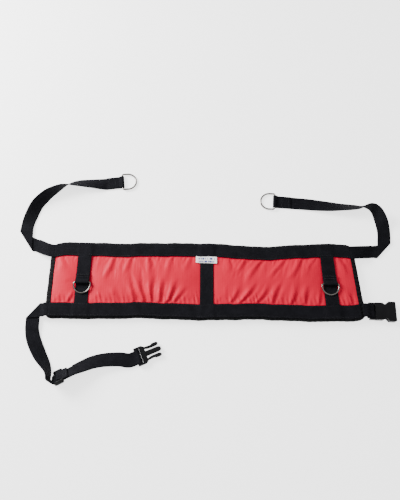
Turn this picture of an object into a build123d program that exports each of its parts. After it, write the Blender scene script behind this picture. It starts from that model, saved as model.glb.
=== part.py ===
from build123d import *
import math
import os

os.makedirs("parts", exist_ok=True)

# Padded gait belt lying open, face up. Millimetres, +Z up, +X along the belt, +Y to its upper edge.
# The origin is on the pad's underside, in line with the centre strap.

# Webbing and pad
WEB = 25.0                       # webbing width, one inch
WEB_T = 1.5                      # webbing thickness
PAD_LEFT = -296.0
PAD_RIGHT_TOP = 279.0            # the right end is cut a little aslant
PAD_RIGHT_BOTTOM = 291.0
PAD_HALF = 74.0                  # half the pad's height along Y
PAD_T = 11.0                     # finished thickness at the bound edge
CLOTH_T = 1.0                    # one layer of lining, shell or binding
BINDING_FACE = 10.5              # width of binding on each face
BORDER_Y = 57.4                  # centre line of the border webbings
STRAP_XS = (-230.0, 0.0, 228.0)  # left, centre and right vertical straps
SOFT_GAP = 0.3                   # room between parts that move against each other
LIFT_GAP = 0.4                   # room at the line where a free strap lifts

# Rings
FRONT_RING = (15.25, 20.0, 1.5)  # half width and depth of the wire's centre line, wire radius
END_RING = (16.9, 27.3, 1.6)
RING_CORNER = 3.0
RING_BAR_Y = -6.5                # the front rings' bars

# Buckle, tri-glide
BAR_R = 1.9
RAIL_IN = 13.2                   # clear half width for the webbing
MALE_HEADING = 23.0
FEMALE_HEADING = -1.5
ARM_PIVOT = (13.5, 10.6)         # along and across the male buckle
KNUCKLE_R = 1.8
KNUCKLE_GAP = 0.1
GLIDE_BANK = -42.0               # the doubled strap leans at the tri-glide
GLIDE_HEADING = 27.0

DECK = PAD_T                     # the webbings are sewn on top of the pad
STRAP_TOP = DECK + WEB_T


def turn(heading):
    """Unit vector in plan."""
    return Vector(math.cos(math.radians(heading)), math.sin(math.radians(heading)), 0)


def left_of(heading):
    return turn(heading + 90)


def web_frame(x, y, z, heading, bank=0.0):
    """Plane at a point of a strap: x along it, y across it, z out of its upper face."""
    across = left_of(heading) * math.cos(math.radians(bank)) + Vector(0, 0, math.sin(math.radians(bank)))
    along = turn(heading)
    return Plane(origin=(x, y, z), x_dir=along, z_dir=along.cross(across))


def centre_height(bank):
    """Height of the webbing's middle when its lower edge rests on the ground."""
    lean = math.radians(bank)
    return abs(math.sin(lean)) * WEB / 2 + abs(math.cos(lean)) * WEB_T / 2


def cross_section(x, y, z, heading, bank=0.0, layer=0.0):
    frame = web_frame(x, y, z, heading, bank)
    face = Plane(origin=frame.origin + frame.z_dir * layer, x_dir=frame.y_dir, z_dir=frame.x_dir)
    return face * Rectangle(WEB, WEB_T)


def ribbon(stations, layer=0.0):
    """Webbing through stations of x, y, z, heading and bank, with flat or twisted sides between."""
    sections = [cross_section(*station, layer=layer) for station in stations]
    pieces = [loft([a, b], ruled=True) for a, b in zip(sections, sections[1:])]
    return fuse(pieces)


def fuse(pieces):
    whole = pieces[0]
    for piece in pieces[1:]:
        whole = whole + piece
    return whole


def on_ground(route, first, last):
    """Stations from x, y, bank and lift, with headings read from the neighbours."""
    stations = []
    for i, (x, y, bank, lift) in enumerate(route):
        before = route[max(i - 1, 0)]
        after = route[min(i + 1, len(route) - 1)]
        heading = math.degrees(math.atan2(after[1] - before[1], after[0] - before[0]))
        if i == 0 and first is not None:
            heading = first
        if i == len(route) - 1 and last is not None:
            heading = last
        stations.append((x, y, centre_height(bank) + lift, heading, bank))
    return stations


def slab(points, z_low, thick=WEB_T):
    """Flat plate with straight sides."""
    outline = make_face(Polyline(*[(x, y, z_low) for x, y in points], close=True))
    return extrude(outline, amount=thick, dir=(0, 0, 1))


def corner_fold(point, heading_in, heading_out, reach, z_in, z_out):
    """The two flat leaves of a diagonal fold, lying on each other along the crease."""
    centre = Vector(*point, 0)
    crease = (heading_in + heading_out) / 2
    slope = math.radians(crease - heading_in)
    shift = turn(heading_in) * (WEB / 2 / math.tan(slope))
    crease_left = centre + shift + left_of(heading_in) * (WEB / 2)
    crease_right = centre - shift - left_of(heading_in) * (WEB / 2)
    leaves = []
    for heading, along, z in ((heading_in, -reach, z_in), (heading_out, reach, z_out)):
        end = centre + turn(heading) * along
        side = left_of(heading) * (WEB / 2)
        if (crease_left - centre).dot(side) < 0:
            side = side * -1
        corners = (crease_left, end + side, end - side, crease_right)
        leaves.append(slab([(p.X, p.Y) for p in corners], z))
    return leaves


def end_loop(bar_r, tail):
    """Webbing end folded round a bar at the origin: lies along -X, ends in two sewn layers."""
    inner = bar_r + SOFT_GAP
    outer = inner + WEB_T
    ring = Plane.XZ * (Circle(outer) - Circle(inner) - Pos(-outer, 0) * Rectangle(2 * outer, 2 * outer))
    floor = -outer
    lower = Plane.XZ * Pos(-tail / 2, floor + WEB_T / 2) * Rectangle(tail, WEB_T)
    drop = outer * 3.0
    corners = ((0, inner), (0, outer), (-drop, floor + 2 * WEB_T), (-drop, floor + WEB_T))
    slope = Plane.XZ * make_face(Polyline(*corners, close=True))
    flat_len = tail - drop
    upper = Plane.XZ * Pos(-drop - flat_len / 2, floor + WEB_T * 1.5) * Rectangle(flat_len, WEB_T)
    parts = [extrude(shape, amount=WEB / 2, both=True) for shape in (ring, lower, slope, upper)]
    return fuse(parts)


def d_ring(size):
    """Welded D-ring lying flat: straight bar on the Y axis through the origin, bow towards +X."""
    half, depth, wire = size
    side = depth - half
    path = Wire([
        Line((0, -half + RING_CORNER), (0, half - RING_CORNER)),
        RadiusArc((0, half - RING_CORNER), (RING_CORNER, half), RING_CORNER),
        Line((RING_CORNER, half), (side, half)),
        ThreePointArc((side, half), (depth, 0), (side, -half)),
        Line((side, -half), (RING_CORNER, -half)),
        RadiusArc((RING_CORNER, -half), (0, -half + RING_CORNER), RING_CORNER),
    ])
    return sweep(Plane.XZ * Circle(wire), path=path)


def rest_tilt(bar_height, size):
    """Slope at which the ring's bow touches what it lies on, with its bar this high above that."""
    half, depth, wire = size
    return math.degrees(math.asin((bar_height - wire - 0.05) / depth))


def placed(shape, x, y, z, heading, pitch=0.0):
    """Move a part built along +X to a point, turned in plan and tipped nose down by pitch."""
    return Pos(x, y, z) * Rot(0, 0, heading) * Rot(0, pitch, 0) * shape


# Pad

def pad_outline(inset, z):
    """Pad outline moved in by inset on every side."""
    slant = (PAD_RIGHT_BOTTOM - PAD_RIGHT_TOP) / (2 * PAD_HALF)
    half = PAD_HALF - inset
    side = inset * math.hypot(1, slant)
    middle = (PAD_RIGHT_TOP + PAD_RIGHT_BOTTOM) / 2 - side
    points = (
        (PAD_LEFT + inset, -half),
        (middle + slant * half, -half),
        (middle - slant * half, half),
        (PAD_LEFT + inset, half),
    )
    return make_face(Polyline(*[(x, y, z) for x, y in points], close=True))


def pad_plate(inset, z_low, z_high):
    return extrude(pad_outline(inset, z_low), amount=z_high - z_low, dir=(0, 0, 1))


def back_lining():
    """Inner face of the pad, with a rim caught under the binding."""
    return pad_plate(BINDING_FACE, 0, CLOTH_T) + pad_plate(CLOTH_T, CLOTH_T, 2 * CLOTH_T)


def front_shell():
    rim = pad_plate(CLOTH_T, PAD_T - 2 * CLOTH_T, PAD_T - CLOTH_T)
    return rim + pad_plate(BINDING_FACE, PAD_T - CLOTH_T, PAD_T)


def foam_core():
    return pad_plate(2 * CLOTH_T, 2 * CLOTH_T, PAD_T - 2 * CLOTH_T)


def binding_all():
    """Tape folded round the edge of the pad."""
    tape = pad_plate(0, 0, PAD_T) - pad_plate(CLOTH_T, CLOTH_T, PAD_T - CLOTH_T)
    return tape - pad_plate(BINDING_FACE, -1, PAD_T + 1)


def binding(side):
    """One of the four runs of tape, cut square at the corners."""
    wide = 800.0
    inner = PAD_HALF - BINDING_FACE
    ends = {"left": PAD_LEFT, "right": PAD_RIGHT_BOTTOM}
    if side in ends:
        region = Pos(ends[side], 0, PAD_T / 2) * Box(wide / 4, 2 * inner, 2 * PAD_T)
    else:
        middle = (PAD_HALF + inner) / 2 * (1 if side == "top" else -1)
        region = Pos(0, middle, PAD_T / 2) * Box(wide, BINDING_FACE, 2 * PAD_T)
    return binding_all() & region


def border_webbing(y_sign):
    """Webbing sewn along the pad, stepping up over the three vertical straps."""
    y = y_sign * BORDER_Y
    slant = (PAD_RIGHT_BOTTOM - PAD_RIGHT_TOP) / (2 * PAD_HALF)
    right = (PAD_RIGHT_TOP + PAD_RIGHT_BOTTOM) / 2 - slant * y - 1.2
    step = 2.0
    under = [(PAD_LEFT + 0.2, DECK)]
    for x in STRAP_XS:
        low, high = x - WEB / 2 - 0.2, x + WEB / 2 + 0.2
        under += [(low - step, DECK), (low, STRAP_TOP), (high, STRAP_TOP), (high + step, DECK)]
    under.append((right, DECK))
    over = [(x, z + WEB_T) for x, z in reversed(under)]
    start = y + WEB / 2
    face = make_face(Polyline(*[(x, start, z) for x, z in under + over], close=True))
    return extrude(face, amount=WEB, dir=(0, -1, 0))


def vertical_strap(x):
    """Webbing sewn across the pad, under both border webbings."""
    return Pos(x, 0, DECK + WEB_T / 2) * Box(WEB, 2 * BORDER_Y + WEB, WEB_T)


def front_bar_height():
    return STRAP_TOP + FRONT_RING[2] + SOFT_GAP + WEB_T


def ring_loop(x):
    """Second layer of webbing, from the top border down round the ring's bar and back under."""
    fold_back = 17.0
    top_end = BORDER_Y - WEB / 2
    loop = placed(end_loop(FRONT_RING[2], fold_back), 0, 0, 0, -90)
    run = top_end - RING_BAR_Y - fold_back
    floor = -(FRONT_RING[2] + SOFT_GAP + WEB_T)
    strip = Pos(0, fold_back + run / 2, floor + WEB_T / 2) * Box(WEB, run, WEB_T)
    return Pos(x, RING_BAR_Y, front_bar_height()) * (loop + strip)


def bar_tacks(x):
    """Two rows of stitching across the ring loop, just above the bar."""
    rows = [Pos(x, y, STRAP_TOP + 2 * WEB_T + 0.15) * Box(WEB - 4, 0.9, 0.3) for y in (5.2, 8.8)]
    return rows


def care_label():
    """Folded white label sewn in under the top border, over the centre strap."""
    wide, deep, thick = 39.0, 13.0, 0.5
    return Pos(0, BORDER_Y - WEB / 2 - deep / 2, STRAP_TOP + thick / 2) * Box(wide, deep, thick)


# Free straps

def ramp(start, end):
    """Sloping run from the pad's top down to a fold; each end is x, y, lower z and heading."""
    stations = [(x, y, z + WEB_T / 2, heading) for x, y, z, heading in (start, end)]
    return loft([cross_section(*station) for station in stations], ruled=True)


def strap_root(pad_end, fold, headings, reach, z_in, z_out):
    """Start of a free strap: the slope down from the pad and the diagonal fold."""
    heading_in, heading_out = headings
    before = Vector(*fold, 0) - turn(heading_in) * reach
    slope = ramp((*pad_end[:2], DECK, pad_end[2]), (before.X, before.Y, z_in, heading_in))
    return fuse([slope] + corner_fold(fold, heading_in, heading_out, reach, z_in, z_out))


def lift_line(fold, heading_out, reach):
    """Point on the strap's middle where its free run begins, just past the fold."""
    return Vector(*fold, 0) + turn(heading_out) * (reach + LIFT_GAP)


def strap_with_ring(fold, heading_out, reach, route, ring_heading):
    """Free run of an upper strap, twisted over its length, with the loop that holds the ring."""
    after = lift_line(fold, heading_out, reach)
    first = (after.X, after.Y, 0, WEB_T)
    stations = on_ground([first] + route, heading_out, ring_heading)
    pieces = [ribbon(stations)]
    loop_tail = 32.0
    x, y = route[-1][:2]
    bar = Vector(x, y, END_RING[2] + SOFT_GAP + WEB_T) + turn(ring_heading) * loop_tail
    pieces.append(placed(end_loop(END_RING[2], loop_tail), bar.X, bar.Y, bar.Z, ring_heading))
    return fuse(pieces), bar


def end_ring(bar, heading):
    tilt = rest_tilt(bar.Z, END_RING)
    return placed(d_ring(END_RING), bar.X, bar.Y, bar.Z, heading, tilt)


def end_tack(bar, heading):
    """Two rows of stitching through the two layers behind the ring."""
    rows = []
    for back in (15.0, 27.0):
        spot = bar - turn(heading) * back
        rows.append(Pos(spot.X, spot.Y, 2 * WEB_T + 0.15) * Rot(0, 0, heading) * Box(0.9, WEB - 4, 0.3))
    return rows


UPPER_LEFT_ROUTE = [
    (-350.0, 113.0, 0, 0.3),
    (-346.5, 127.0, 12, 0),
    (-335.0, 153.0, 38, 0),
    (-319.0, 171.5, 59, 0),
    (-304.0, 183.0, 79, 0),
    (-290.0, 192.0, 98, 0),
    (-278.0, 197.5, 118, 0),
    (-268.0, 200.2, 133, 0),
    (-252.0, 202.0, 146, 0),
    (-230.0, 202.3, 158, 0),
    (-214.0, 202.5, 170, 0),
    (-202.0, 203.6, 180, 0),
]
UPPER_RIGHT_ROUTE = [
    (344.2, 98.0, 0, 0.3),
    (343.6, 112.0, -8, 0),
    (339.0, 128.0, -36, 0),
    (332.5, 143.0, -60, 0),
    (323.0, 152.3, -82, 0),
    (311.0, 154.6, -103, 0),
    (298.0, 152.9, -128, 0),
    (283.0, 152.8, -138, 0),
    (265.0, 153.5, -146, 0),
    (243.0, 155.6, -159, 0),
    (224.0, 158.0, -168, 0),
    (205.0, 160.6, -175, 0),
    (166.5, 164.2, -180, 0),
]
UPPER_LEFT_PAD_END = (PAD_LEFT, BORDER_Y, 180.0)
UPPER_LEFT_FOLD = (-348.0, 79.5)
UPPER_LEFT_HEADINGS = (157.0, 94.0)
UPPER_LEFT_REACH = 22.0
UPPER_RIGHT_PAD_END = (281.5, BORDER_Y, 4.0)
UPPER_RIGHT_FOLD = (339.0, 65.5)
UPPER_RIGHT_HEADINGS = (8.0, 84.0)
UPPER_RIGHT_REACH = 19.0
UPPER_LEFT_RING_HEADING = 7.0
UPPER_RIGHT_RING_HEADING = 176.0


def upper_root(side):
    shape = (UPPER_RIGHT_PAD_END, UPPER_RIGHT_FOLD, UPPER_RIGHT_HEADINGS, UPPER_RIGHT_REACH)
    if side == "left":
        shape = (UPPER_LEFT_PAD_END, UPPER_LEFT_FOLD, UPPER_LEFT_HEADINGS, UPPER_LEFT_REACH)
    return strap_root(*shape, 0, WEB_T)


def upper_left_strap():
    heading = UPPER_LEFT_HEADINGS[1]
    ring_heading = UPPER_LEFT_RING_HEADING
    return strap_with_ring(UPPER_LEFT_FOLD, heading, UPPER_LEFT_REACH, UPPER_LEFT_ROUTE, ring_heading)


def upper_right_strap():
    heading = UPPER_RIGHT_HEADINGS[1]
    ring_heading = UPPER_RIGHT_RING_HEADING
    return strap_with_ring(UPPER_RIGHT_FOLD, heading, UPPER_RIGHT_REACH, UPPER_RIGHT_ROUTE, ring_heading)


# Lower left strap, tri-glide and male buckle

LOWER_FOLD = (-316.5, -59.5)
LOWER_HEADINGS = (185.0, 276.0)
LOWER_REACH = 14.0
LOWER_FOLD_Z = 4.0
SINGLE_ROUTE = [
    (-315.2, -95.0, 0, 2.0),
    (-308.0, -115.0, -17, 0),
    (-296.0, -136.0, -35, 0),
    (-284.0, -153.0, -55, 0),
    (-276.7, -165.0, -74, 0.5),
    (-273.7, -174.5, -84, 1.5),
    (-273.4, -179.0, -86, 2.0),
    (-271.8, -182.6, -87, 2.0),
    (-268.6, -184.2, -86, 2.0),
]
GLIDE_START = (-263.2, -181.4)
STRAIGHT_LENGTH = 35.0
GLIDE_LIFT = 3.7
GLIDE_AT = 9.0                   # the tri-glide's middle, from the start of the straight run
DOUBLE_ROUTE = [
    (-219.0, -159.0, -34, 1.5),
    (-200.5, -150.8, -23, 0.8),
    (-178.0, -146.0, -17, 0),
    (-155.0, -144.6, -8, 0),
]
MALE_BAR = (-119.5, -139.5)
LOOP_TAIL = 14.0
LAYER_GAP = 0.05                 # between the two layers of the doubled run
BUCKLE_BAR_Z = BAR_R + SOFT_GAP + WEB_T


def straight_point(distance):
    start = Vector(*GLIDE_START, 0)
    return start + turn(GLIDE_HEADING) * distance


def double_stations():
    """Doubled run from the tri-glide to the buckle loop."""
    ends = [straight_point(0), straight_point(STRAIGHT_LENGTH)]
    straight = [(p.X, p.Y, GLIDE_BANK, GLIDE_LIFT) for p in ends]
    tail = Vector(*MALE_BAR, 0) - turn(MALE_HEADING) * LOOP_TAIL
    route = straight + DOUBLE_ROUTE + [(tail.X, tail.Y, 0, 0)]
    stations = on_ground(route, GLIDE_HEADING, MALE_HEADING)
    second = list(stations[1])
    second[3] = GLIDE_HEADING
    stations[1] = tuple(second)
    return stations


def lower_left_root():
    start = (PAD_LEFT, -BORDER_Y, 180.0)
    return strap_root(start, LOWER_FOLD, LOWER_HEADINGS, LOWER_REACH, LOWER_FOLD_Z + WEB_T, LOWER_FOLD_Z)


def lower_left_strap():
    """Free run through the tri-glide, and the turn round the buckle's bar."""
    heading_out = LOWER_HEADINGS[1]
    after = lift_line(LOWER_FOLD, heading_out, LOWER_REACH)
    single = [(after.X, after.Y, 0, LOWER_FOLD_Z)] + SINGLE_ROUTE
    single.append((*GLIDE_START, GLIDE_BANK, GLIDE_LIFT))
    loop = placed(end_loop(BAR_R, LOOP_TAIL), *MALE_BAR, BUCKLE_BAR_Z, MALE_HEADING)
    runs = [ribbon(on_ground(single, heading_out, GLIDE_HEADING)), ribbon(double_stations()), loop]
    return fuse(runs)


def return_run():
    """Upper layer of the doubled run, from the buckle loop back towards the tri-glide."""
    return ribbon(double_stations()[1:], layer=WEB_T + LAYER_GAP)


def glide_frame(distance=GLIDE_AT):
    """Plane of the tri-glide: x along the strap, y across, z out of its face, on the webbing's middle."""
    p = straight_point(distance)
    height = centre_height(GLIDE_BANK) + GLIDE_LIFT
    return web_frame(p.X, p.Y, height, GLIDE_HEADING, GLIDE_BANK)


GLIDE_LONG = 17.0
GLIDE_HALF_WIDE = 15.6
GLIDE_LOW = -2.6
GLIDE_HIGH = 5.0
BAR_THICK = 1.6


def tri_glide():
    """Moulded slide: two side rails, two end bars under the strap and a raised centre bar."""
    tall = GLIDE_HIGH - GLIDE_LOW
    mid = (GLIDE_HIGH + GLIDE_LOW) / 2
    rail = GLIDE_HALF_WIDE - RAIL_IN
    pieces = []
    for side in (-1, 1):
        rail_box = Box(GLIDE_LONG, rail, tall)
        rail_box = fillet(rail_box.edges().filter_by(Axis.Y), radius=tall / 2.4)
        pieces.append(Pos(0, side * (RAIL_IN + rail / 2), mid) * rail_box)
    for end in (-1, 1):
        x = end * (GLIDE_LONG / 2 - 3.0)
        pieces.append(Pos(x, 0, GLIDE_LOW + BAR_THICK / 2) * Box(2.4, 2 * RAIL_IN + 1, BAR_THICK))
    pieces.append(Pos(0, 0, GLIDE_HIGH - BAR_THICK / 2) * Box(3.0, 2 * RAIL_IN + 1, BAR_THICK))
    return glide_frame() * fuse(pieces)


def strap_end():
    """The webbing's end, folded round the tri-glide's centre bar and sewn to itself."""
    low = WEB_T / 2 + SOFT_GAP
    bar_top = GLIDE_HIGH + 0.1
    nose = -1.5 - 0.2 - WEB_T
    tail = 17.0
    outline = (
        (nose, low), (tail, low), (tail, low + 2 * WEB_T), (7.0, low + 2 * WEB_T),
        (2.6, bar_top + WEB_T), (nose, bar_top + WEB_T),
    )
    hole_floor = GLIDE_HIGH - BAR_THICK - 0.1
    hole = ((-1.7, hole_floor), (1.7, hole_floor), (1.7, bar_top), (-1.7, bar_top))
    band = make_face(Polyline(*[(u, WEB / 2, w) for u, w in outline], close=True))
    gap = make_face(Polyline(*[(u, WEB / 2, w) for u, w in hole], close=True))
    solid = extrude(band, amount=WEB, dir=(0, -1, 0)) - extrude(gap, amount=WEB, dir=(0, -1, 0))
    return glide_frame() * solid


MALE_THICK = 6.0
MALE_HALF = 16.4
RAIL_AHEAD = 6.0
RAIL_BEHIND = 5.5
BLOCK_AT = 4.2                   # the blocks start just clear of the webbing round the bar
GRIP_RIBS = (6.4, 9.6)


def male_outline(points, thick):
    face = make_face(Polyline(*[(u, v, -thick / 2) for u, v in points], close=True))
    return extrude(face, amount=thick, dir=(0, 0, 1))


def male_buckle():
    """Webbing bar, side rails, front block with the arm seats, and the guide."""
    bar = Rot(90, 0, 0) * Cylinder(BAR_R, 2 * MALE_HALF - 1)
    pieces = [bar]
    for side in (-1, 1):
        rail = Box(RAIL_AHEAD + RAIL_BEHIND, MALE_HALF - RAIL_IN, MALE_THICK)
        rail_middle = (RAIL_AHEAD - RAIL_BEHIND) / 2
        pieces.append(Pos(rail_middle, side * (MALE_HALF + RAIL_IN) / 2, 0) * rail)
    block = (
        (BLOCK_AT, -MALE_HALF), (9.0, -MALE_HALF), (13.5, -12.9),
        (13.5, 12.9), (9.0, MALE_HALF), (BLOCK_AT, MALE_HALF),
    )
    pieces.append(male_outline(block, MALE_THICK))
    for rib_at in GRIP_RIBS:
        pieces.append(Pos(rib_at, 0, MALE_THICK / 2) * Box(1.2, 2 * RAIL_IN, 1.0))
    guide = (
        (13.0, -4.6), (36.0, -4.4), (39.6, -3.6), (41.5, -1.8),
        (41.5, 1.8), (39.6, 3.6), (36.0, 4.4), (13.0, 4.6),
    )
    pieces.append(male_outline(guide, 4.0))
    body = fuse(pieces)
    for side in (-1, 1):
        seat = Pos(ARM_PIVOT[0], side * ARM_PIVOT[1], 0) * Cylinder(KNUCKLE_R + KNUCKLE_GAP, 2 * MALE_THICK)
        body = body - seat
    return placed(body, *MALE_BAR, BUCKLE_BAR_Z, MALE_HEADING)


def male_arm(side):
    """Springy arm with a hooked head that catches in the female half's side window."""
    u, v = ARM_PIVOT
    knuckle = Pos(u, v, 0) * Cylinder(KNUCKLE_R, 4.4)
    shape = (
        (u, v - 1.7), (18.0, 7.4), (24.0, 6.8), (35.0, 6.9), (38.0, 8.1), (39.4, 10.2), (38.6, 12.2),
        (36.2, 13.4), (29.5, 13.4), (27.2, 12.7), (26.2, 11.6), (u, v + 1.7),
    )
    arm = knuckle + male_outline(shape, 4.4)
    if side < 0:
        arm = mirror(arm, about=Plane.XZ)
    return placed(arm, *MALE_BAR, BUCKLE_BAR_Z, MALE_HEADING)


# Female buckle and its tab

FEMALE_BAR = (303.6, -54.8)
FEMALE_HALF_T = 5.4
FEMALE_BAR_Z = FEMALE_HALF_T + 0.1
FEMALE_MOUTH = 41.0
TAB_REACH = 12.2                 # from the buckle's bar back to the pad
CAVITY_HALF = 13.8
NOTCH_AT = 22.0                  # round notches beside the windows, where the arms' heads are pressed
NOTCH_R = 4.4
NOTCH_HALF = 13.0
CAVITY_HALF_T = 3.3


def female_buckle():
    """Hollow half of the buckle, open at the mouth and through both side windows."""
    thick = 2 * FEMALE_HALF_T
    shell = (
        (BLOCK_AT, -15.8), (26.0, -15.8), (28.5, -18.2), (FEMALE_MOUTH - 1.5, -18.2), (FEMALE_MOUTH, -17.0),
        (FEMALE_MOUTH, 17.0), (FEMALE_MOUTH - 1.5, 18.2), (28.5, 18.2), (26.0, 15.8), (BLOCK_AT, 15.8),
    )
    body = male_outline(shell, thick)
    deep = FEMALE_MOUTH - 13.0
    cavity = Pos(FEMALE_MOUTH - deep / 2, 0, 0) * Box(deep, 2 * CAVITY_HALF, 2 * CAVITY_HALF_T)
    window = Pos(NOTCH_AT, 0, 0) * Box(2 * NOTCH_R, 50.0, 2 * CAVITY_HALF_T)
    body = body - cavity - window
    for side in (-1, 1):
        body = body - Pos(NOTCH_AT, side * (NOTCH_HALF + NOTCH_R), 0) * Cylinder(NOTCH_R, 2 * thick)
    body = body + Rot(90, 0, 0) * Cylinder(BAR_R, 2 * RAIL_IN + 2)
    for side in (-1, 1):
        rail = Pos(-0.5, side * (RAIL_IN + 1.3), 0) * Box(13.0, 2.6, 6.4)
        body = body + rail
    return placed(body, *FEMALE_BAR, FEMALE_BAR_Z, FEMALE_HEADING)


def female_buckle_tab():
    """End of the bottom webbing: over the pad's edge, round the buckle's bar and back under."""
    inner = BAR_R + SOFT_GAP
    outer = inner + WEB_T
    ring = Plane.XZ * (Circle(outer) - Circle(inner) - Pos(-outer, 0) * Rectangle(2 * outer, 2 * outer))
    low_z, high_z = -outer, inner
    step = STRAP_TOP - FEMALE_BAR_Z
    upper = ((0, high_z), (-TAB_REACH, step - WEB_T), (-TAB_REACH, step), (0, high_z + WEB_T))
    lower = ((0, low_z), (0, low_z + WEB_T), (-TAB_REACH, low_z + WEB_T), (-TAB_REACH, low_z))
    shapes = [ring] + [Plane.XZ * make_face(Polyline(*c, close=True)) for c in (upper, lower)]
    solid = fuse([extrude(shape, amount=WEB / 2, both=True) for shape in shapes])
    return placed(solid, *FEMALE_BAR, FEMALE_BAR_Z, FEMALE_HEADING)


def save(name, shapes):
    """Write one node; a list of separate solids shares a node."""
    if isinstance(shapes, list):
        shapes = Compound(children=shapes)
    export_step(shapes, f"parts/{name}.step")


save("back_lining", back_lining())
save("foam_core", foam_core())
save("front_shell", front_shell())
for side in ("top", "bottom", "left", "right"):
    save(f"binding_{side}", binding(side))
save("top_webbing", border_webbing(1))
save("bottom_webbing", border_webbing(-1))
for name, x in zip(("left", "centre", "right"), STRAP_XS):
    save(f"{name}_strap", vertical_strap(x))
save("care_label", care_label())

front_tilt = rest_tilt(front_bar_height() - STRAP_TOP, FRONT_RING)
for name, x in (("left", STRAP_XS[0]), ("right", STRAP_XS[2])):
    save(f"{name}_ring_loop", ring_loop(x))
    save(f"{name}_bar_tacks", bar_tacks(x))
    ring = placed(d_ring(FRONT_RING), x, RING_BAR_Y, front_bar_height(), -90, front_tilt)
    save(f"{name}_front_ring", ring)

upper_straps = (
    ("left", upper_left_strap, UPPER_LEFT_RING_HEADING),
    ("right", upper_right_strap, UPPER_RIGHT_RING_HEADING),
)
for name, maker, heading in upper_straps:
    strap, bar = maker()
    save(f"upper_{name}_root", upper_root(name))
    save(f"upper_{name}_strap", strap)
    save(f"upper_{name}_bar_tacks", end_tack(bar, heading))
    save(f"upper_{name}_end_ring", end_ring(bar, heading))
    print(f"upper {name} ring bar", round(bar.X, 2), round(bar.Y, 2), round(bar.Z, 2))

save("lower_left_root", lower_left_root())
save("lower_left_strap", lower_left_strap())
save("lower_left_return", return_run())
save("tri_glide", tri_glide())
save("strap_end", strap_end())
save("male_buckle", male_buckle())
save("male_arm_left", male_arm(1))
save("male_arm_right", male_arm(-1))
save("female_buckle", female_buckle())
save("female_buckle_tab", female_buckle_tab())

glide = glide_frame()
print("front ring bar height", round(front_bar_height(), 2))
print("tri-glide at", [round(c, 2) for c in glide.origin])
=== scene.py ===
import math
from bisect import bisect_right

import bmesh
import bpy
from mathutils import Matrix, Vector, noise


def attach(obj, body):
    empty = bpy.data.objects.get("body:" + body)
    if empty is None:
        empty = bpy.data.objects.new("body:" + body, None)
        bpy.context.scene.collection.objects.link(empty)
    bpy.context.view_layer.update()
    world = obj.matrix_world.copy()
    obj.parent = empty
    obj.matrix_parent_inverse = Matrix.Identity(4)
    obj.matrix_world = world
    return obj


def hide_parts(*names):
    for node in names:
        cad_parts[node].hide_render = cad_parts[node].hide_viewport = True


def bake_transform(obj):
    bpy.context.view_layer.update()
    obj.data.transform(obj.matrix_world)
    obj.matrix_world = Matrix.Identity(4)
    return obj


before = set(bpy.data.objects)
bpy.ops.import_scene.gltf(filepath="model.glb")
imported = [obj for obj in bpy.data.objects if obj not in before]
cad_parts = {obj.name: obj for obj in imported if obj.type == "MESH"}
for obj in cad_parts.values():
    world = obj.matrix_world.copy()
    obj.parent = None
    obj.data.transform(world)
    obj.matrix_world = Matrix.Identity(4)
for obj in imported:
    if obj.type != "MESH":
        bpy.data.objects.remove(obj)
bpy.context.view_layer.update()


# Camera. It stands over the belt's lower edge and looks down at it steeply, from a little under a metre.
CAMERA_AT = (-0.0104, -0.2520, 0.8679)
CAMERA_TILT = 20.0
CAMERA_TURN = 0.47
IMAGE_LONG_SIDE = 500
FOCAL = 480.0

camera_data = bpy.data.cameras.new("camera")
camera_data.sensor_width = 36.0
camera_data.lens = camera_data.sensor_width * FOCAL / IMAGE_LONG_SIDE
camera = bpy.data.objects.new("camera", camera_data)
camera.location = CAMERA_AT
camera.rotation_euler = (math.radians(CAMERA_TILT), 0, math.radians(CAMERA_TURN))
bpy.context.scene.collection.objects.link(camera)
bpy.context.scene.camera = camera


# Floor and studio light. A plain near-white floor under a soft sky that is darker towards the horizon, and
# one large soft lamp off the belt's left end, so that the red cloth is brightest there.
FLOOR_COLOUR = "#F6F6F6"
FLOOR_PALER = "#F8F8F8"
FLOOR_GLOW = 2.2
FLOOR_HEIGHT = -0.0006
FLOOR_REACH = 8.0
SKY_HORIZON = (0.12, 0.12, 0.13, 1.0)
SKY_ZENITH = (1.0, 1.0, 1.0, 1.0)
SKY_FULL_AT = 0.9
SKY_STRENGTH = 0.9
LAMP_AT = (-1.25, 0.70, 0.80)
LAMP_SIZE = 0.7
LAMP_POWER = 60.0

MIX_A, MIX_B, MIXED = 6, 7, 2   # the colour sockets of a Mix node: two in, one out


def linear(colour):
    """sRGB hex to the linear colour a shader takes."""
    parts = [int(colour[i:i + 2], 16) / 255 for i in (1, 3, 5)]
    return [c / 12.92 if c <= 0.04045 else ((c + 0.055) / 1.055) ** 2.4 for c in parts] + [1.0]


def add_node(tree, kind, inputs=None, **settings):
    """Adds a node with its settings; inputs are values, or output sockets to link."""
    made = tree.nodes.new(kind)
    for name, value in settings.items():
        setattr(made, name, value)
    for socket, value in (inputs or {}).items():
        if isinstance(value, bpy.types.NodeSocket):
            tree.links.new(value, made.inputs[socket])
        else:
            made.inputs[socket].default_value = value
    return made


def new_material(name, **sockets):
    """A material with its shader's constant sockets set; returns it, its tree and the shader."""
    made = bpy.data.materials.new(name)
    made.use_nodes = True
    tree = made.node_tree
    shader = tree.nodes["Principled BSDF"]
    for socket, value in sockets.items():
        shader.inputs[socket.replace("_", " ")].default_value = value
    return made, tree, shader


def link_object(name, mesh, *materials):
    made = bpy.data.objects.new(name, mesh)
    bpy.context.scene.collection.objects.link(made)
    for material in materials:
        mesh.materials.append(material)
    return made


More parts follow.
